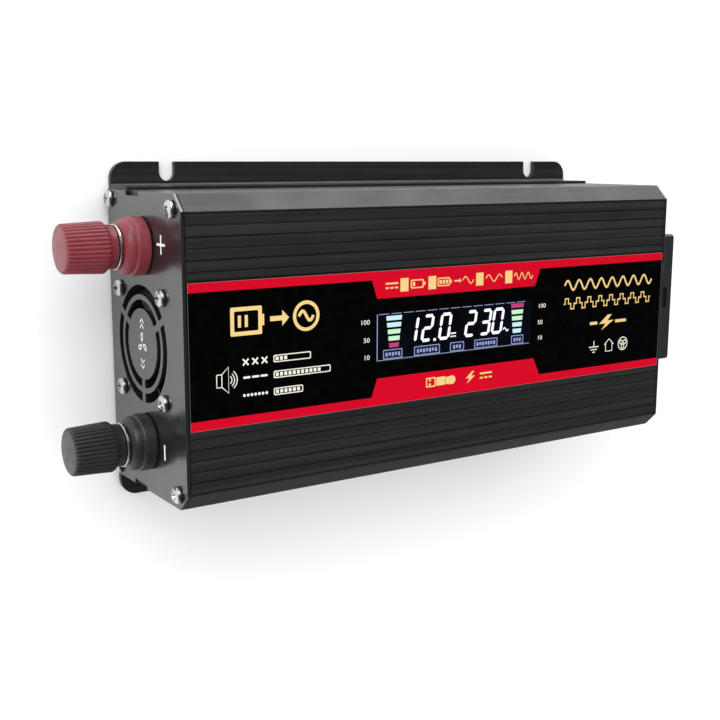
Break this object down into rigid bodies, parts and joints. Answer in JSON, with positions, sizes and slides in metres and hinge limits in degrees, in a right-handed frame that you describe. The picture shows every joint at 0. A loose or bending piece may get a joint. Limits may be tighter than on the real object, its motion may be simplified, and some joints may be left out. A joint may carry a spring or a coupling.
{
  "type": "power inverter",
  "caption": "Compact battery-to-mains power inverter: ribbed metal case on slotted flanges, label and display on top, fan and battery posts at one end, mains socket at the other.",
  "frame": {"origin": "centre of the mounting face, under the base", "axes": "+Z out of the mounting face through the label, +X from the battery end to the socket end, +Y across the case"},
  "size_m": [0.2381, 0.1114, 0.0572],
  "materials": {
    "black_aluminium": "satin black anodised",
    "grey_steel": "satin grey paint",
    "label_film": "gloss printed film, black with red bands",
    "clear_plastic": "clear smoked window",
    "display_glass": "dark liquid crystal panel",
    "bright_nickel": "bright nickel plate",
    "red_plastic": "satin maroon moulding",
    "black_plastic": "satin black moulding",
    "red_cable": "red insulation",
    "black_cable": "black insulation",
    "switch_red": "gloss red moulding",
    "brass": "bright brass",
    "copper": "enamelled copper",
    "circuit_board": "green solder mask",
    "ferrite": "matt ferrite",
    "yellow_tape": "insulating tape",
    "capacitor_sleeve": "printed sleeve",
    "transistor_epoxy": "moulded epoxy",
    "spring_steel": "plain steel",
    "white_plastic": "white moulding"
  },
  "bodies": {
    "case": {"ac_end_panel": "grey_steel", "ac_panel_screw_1": "bright_nickel", "ac_panel_screw_2": "bright_nickel", "ac_panel_screw_3": "bright_nickel", "ac_panel_screw_4": "bright_nickel", "base_extrusion": "black_aluminium", "buzzer": "black_plastic", "clamp_bar_left": "spring_steel", "clamp_bar_right": "spring_steel", "dc_end_panel": "grey_steel", "dc_panel_screw_1": "bright_nickel", "dc_panel_screw_2": "bright_nickel", "dc_panel_screw_3": "bright_nickel", "dc_panel_screw_4": "bright_nickel", "display_board": "circuit_board", "display_module": "display_glass", "display_window": "clear_plastic", "earth_contact": "brass", "fan_frame": "black_plastic", "fan_screw_1": "bright_nickel", "fan_screw_2": "bright_nickel", "fan_screw_3": "bright_nickel", "fan_screw_4": "bright_nickel", "fan_stator": "copper", "input_capacitor_1": "capacitor_sleeve", "input_capacitor_2": "capacitor_sleeve", "label_overlay": "label_film", "live_contact": "brass", "main_board": "circuit_board", "negative_cable": "black_cable", "negative_collar": "black_plastic", "negative_lock_nut": "bright_nickel", "negative_stud": "brass", "neutral_contact": "brass", "outlet_back_cover": "black_plastic", "outlet_housing": "black_plastic", "output_capacitor": "capacitor_sleeve", "positive_cable": "red_cable", "positive_collar": "red_plastic", "positive_lock_nut": "bright_nickel", "positive_stud": "brass", "switch_housing": "black_plastic", "top_cover": "black_aluminium", "transformer_core_1": "ferrite", "transformer_core_2": "ferrite", "transformer_winding_1": "yellow_tape", "transformer_winding_2": "yellow_tape", "transistor_1": "transistor_epoxy", "transistor_2": "transistor_epoxy", "transistor_3": "transistor_epoxy", "transistor_4": "transistor_epoxy", "usb_board": "circuit_board", "usb_shell": "bright_nickel", "usb_tongue": "white_plastic"},
    "fan_rotor": {"fan_rotor": "black_plastic"},
    "power_rocker": {"power_rocker": "switch_red"},
    "positive_washer": {"positive_washer": "bright_nickel"},
    "positive_knob": {"positive_knob": "red_plastic"},
    "negative_washer": {"negative_washer": "bright_nickel"},
    "negative_knob": {"negative_knob": "black_plastic"}
  },
  "joints": [
    {"name": "fan_spin", "type": "hinge", "parent": "case", "child": "fan_rotor", "pos_m": [-0.095, 0, 0.0268], "axis": [-1, 0, 0], "continuous": true},
    {"name": "power_switch", "type": "hinge", "parent": "case", "child": "power_rocker", "pos_m": [0.1014, -0.034, 0.03], "axis": [0, 1, 0], "range_deg": [0, 20]},
    {"name": "positive_knob_travel", "type": "slide", "parent": "case", "child": "positive_washer", "axis": [-1, 0, 0], "range_m": [0, 0.0061]},
    {"name": "positive_knob_turn", "type": "hinge", "parent": "positive_washer", "child": "positive_knob", "pos_m": [-0.115, 0.0306, 0.0286], "axis": [-1, 0, 0], "range_deg": [0, 2160]},
    {"name": "negative_knob_travel", "type": "slide", "parent": "case", "child": "negative_washer", "axis": [-1, 0, 0], "range_m": [0, 0.0061]},
    {"name": "negative_knob_turn", "type": "hinge", "parent": "negative_washer", "child": "negative_knob", "pos_m": [-0.115, -0.0306, 0.0286], "axis": [-1, 0, 0], "range_deg": [0, 2160]}
  ],
  "couplings": [
    {"joint": "positive_knob_travel", "follows": "positive_knob_turn", "m_per_rad": 0.00015915},
    {"joint": "negative_knob_travel", "follows": "negative_knob_turn", "m_per_rad": 0.00015915}
  ]
}
